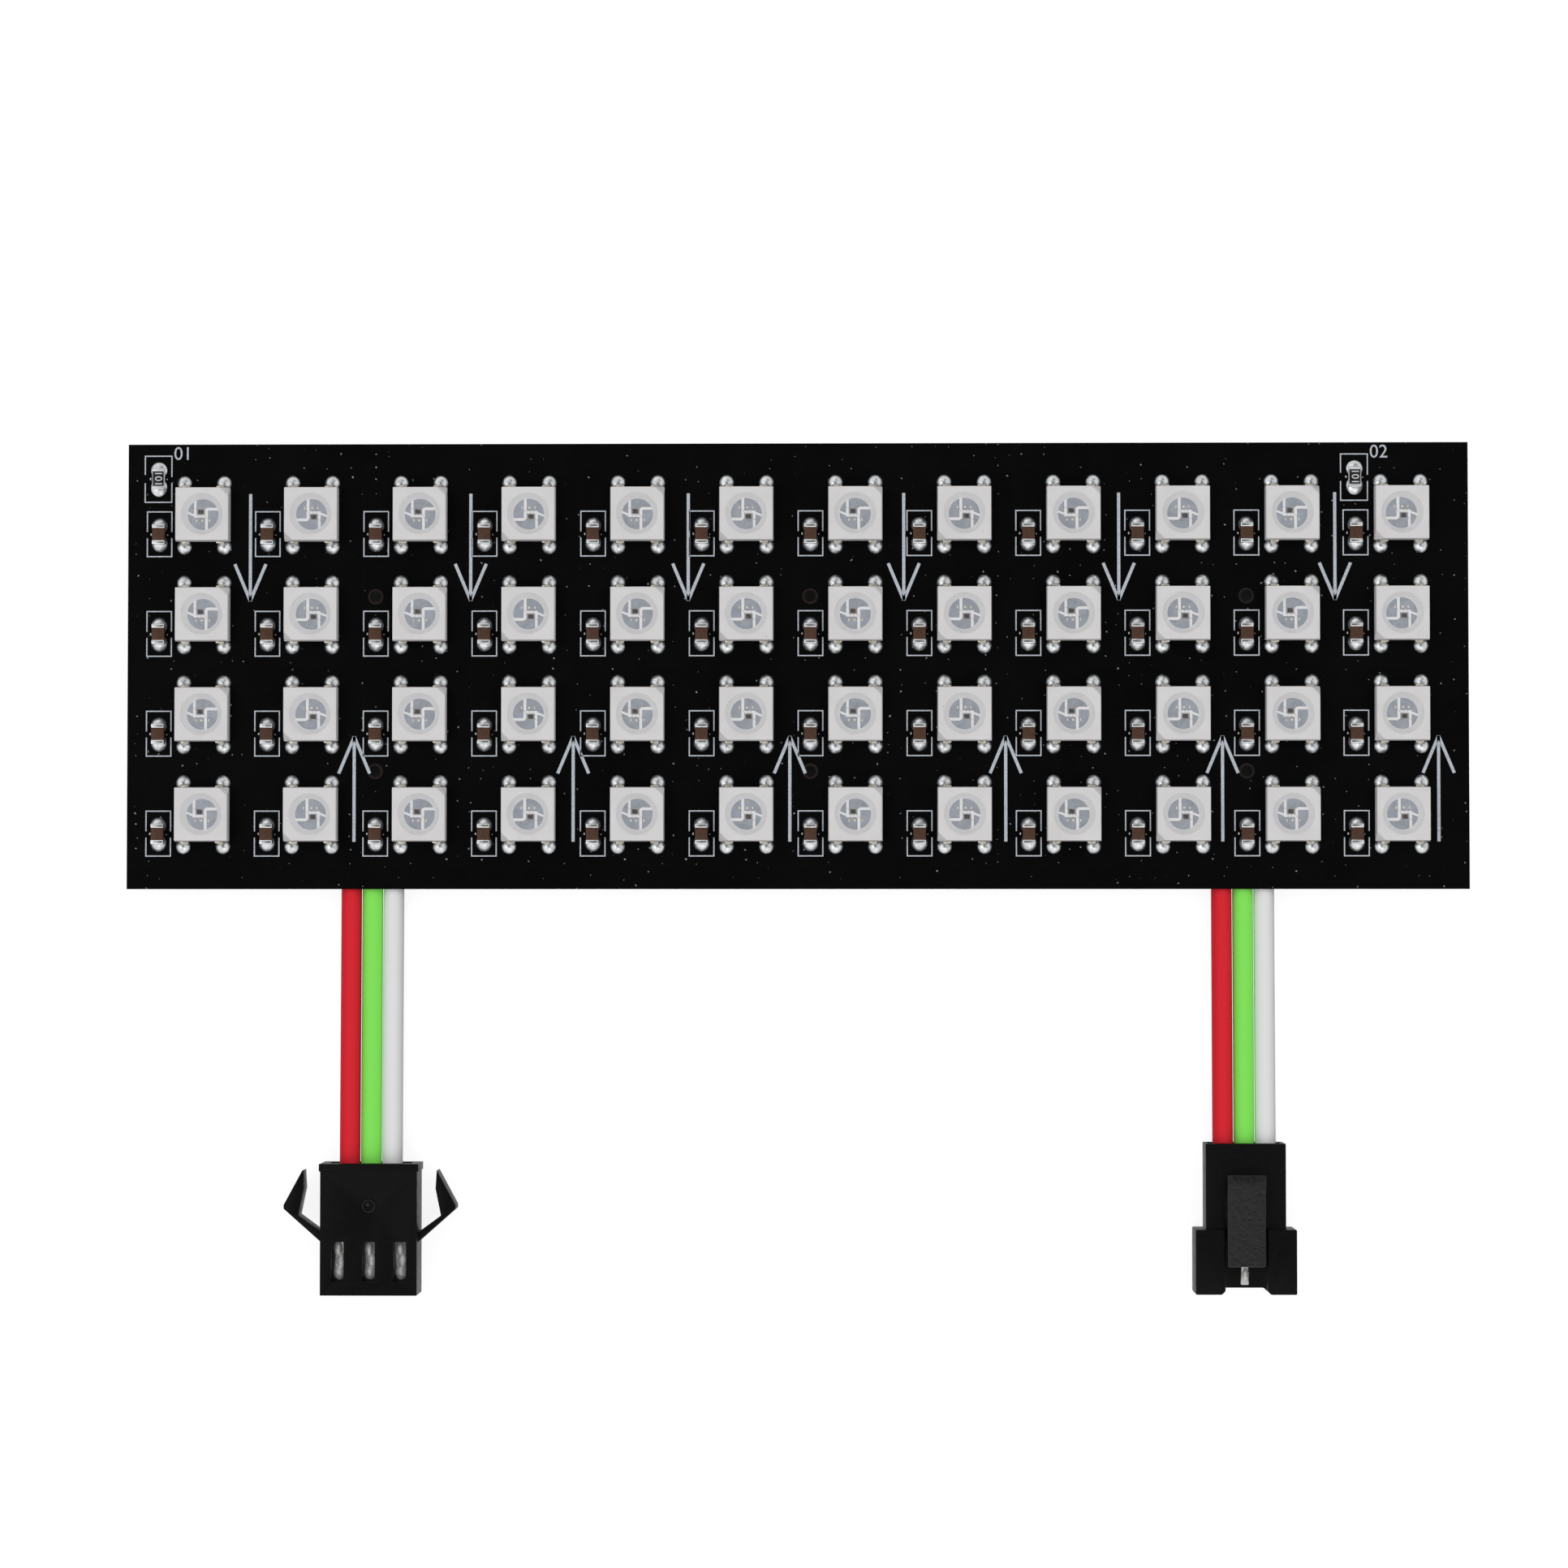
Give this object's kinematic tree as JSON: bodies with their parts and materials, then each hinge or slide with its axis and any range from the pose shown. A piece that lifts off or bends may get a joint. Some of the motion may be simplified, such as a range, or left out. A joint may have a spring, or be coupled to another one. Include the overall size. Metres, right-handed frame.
{
  "type": "rgb led matrix panel",
  "caption": "Flexible black circuit board with a grid of square white colour light packages and two short three-wire leads ending in a latching plug and socket.",
  "frame": {"origin": "under the middle of the board, on the surface that the panel lies on", "axes": "+X along the board towards the output lead, +Y up the board away from the leads, +Z out of the lit face"},
  "size_m": [0.1232, 0.0781, 0.0055],
  "materials": {
    "black_mask": "black solder mask on a thin flexible circuit board, satin",
    "white_moulding": "white moulded package body, fine satin",
    "clear_fill": "clear moulded fill, glossy",
    "solder": "reflowed solder, smooth and shiny",
    "brown_ceramic": "fired brown ceramic",
    "tinned_ends": "tinned metal ends, dull",
    "black_glaze": "black glazed top with a printed code",
    "red_insulation": "red flexible insulation",
    "green_insulation": "light green flexible insulation",
    "white_insulation": "white flexible insulation",
    "black_nylon": "black moulded nylon, slightly grained",
    "contact_metal": "tinned contact metal"
  },
  "bodies": {
    "root": {"flex_board": "black_mask", "led_housings_row_1": "white_moulding", "led_lenses_row_1": "clear_fill", "led_terminals_row_1": "solder", "capacitor_bodies_row_1": "brown_ceramic", "capacitor_ends_row_1": "tinned_ends", "led_housings_row_2": "white_moulding", "led_lenses_row_2": "clear_fill", "led_terminals_row_2": "solder", "capacitor_bodies_row_2": "brown_ceramic", "capacitor_ends_row_2": "tinned_ends", "led_housings_row_3": "white_moulding", "led_lenses_row_3": "clear_fill", "led_terminals_row_3": "solder", "capacitor_bodies_row_3": "brown_ceramic", "capacitor_ends_row_3": "tinned_ends", "led_housings_row_4": "white_moulding", "led_lenses_row_4": "clear_fill", "led_terminals_row_4": "solder", "capacitor_bodies_row_4": "brown_ceramic", "capacitor_ends_row_4": "tinned_ends", "input_resistor_body": "black_glaze", "input_resistor_ends": "tinned_ends", "input_wire_joints": "solder", "input_wire_red": "red_insulation", "input_wire_green": "green_insulation", "input_wire_white": "white_insulation", "output_resistor_body": "black_glaze", "output_resistor_ends": "tinned_ends", "output_wire_joints": "solder", "output_wire_red": "red_insulation", "output_wire_green": "green_insulation", "output_wire_white": "white_insulation", "input_plug_housing": "black_nylon", "output_socket_housing": "black_nylon", "input_contact_red": "contact_metal", "input_contact_green": "contact_metal", "input_contact_white": "contact_metal", "output_pin_red": "contact_metal", "output_pin_green": "contact_metal", "output_pin_white": "contact_metal"}
  },
  "joints": []
}
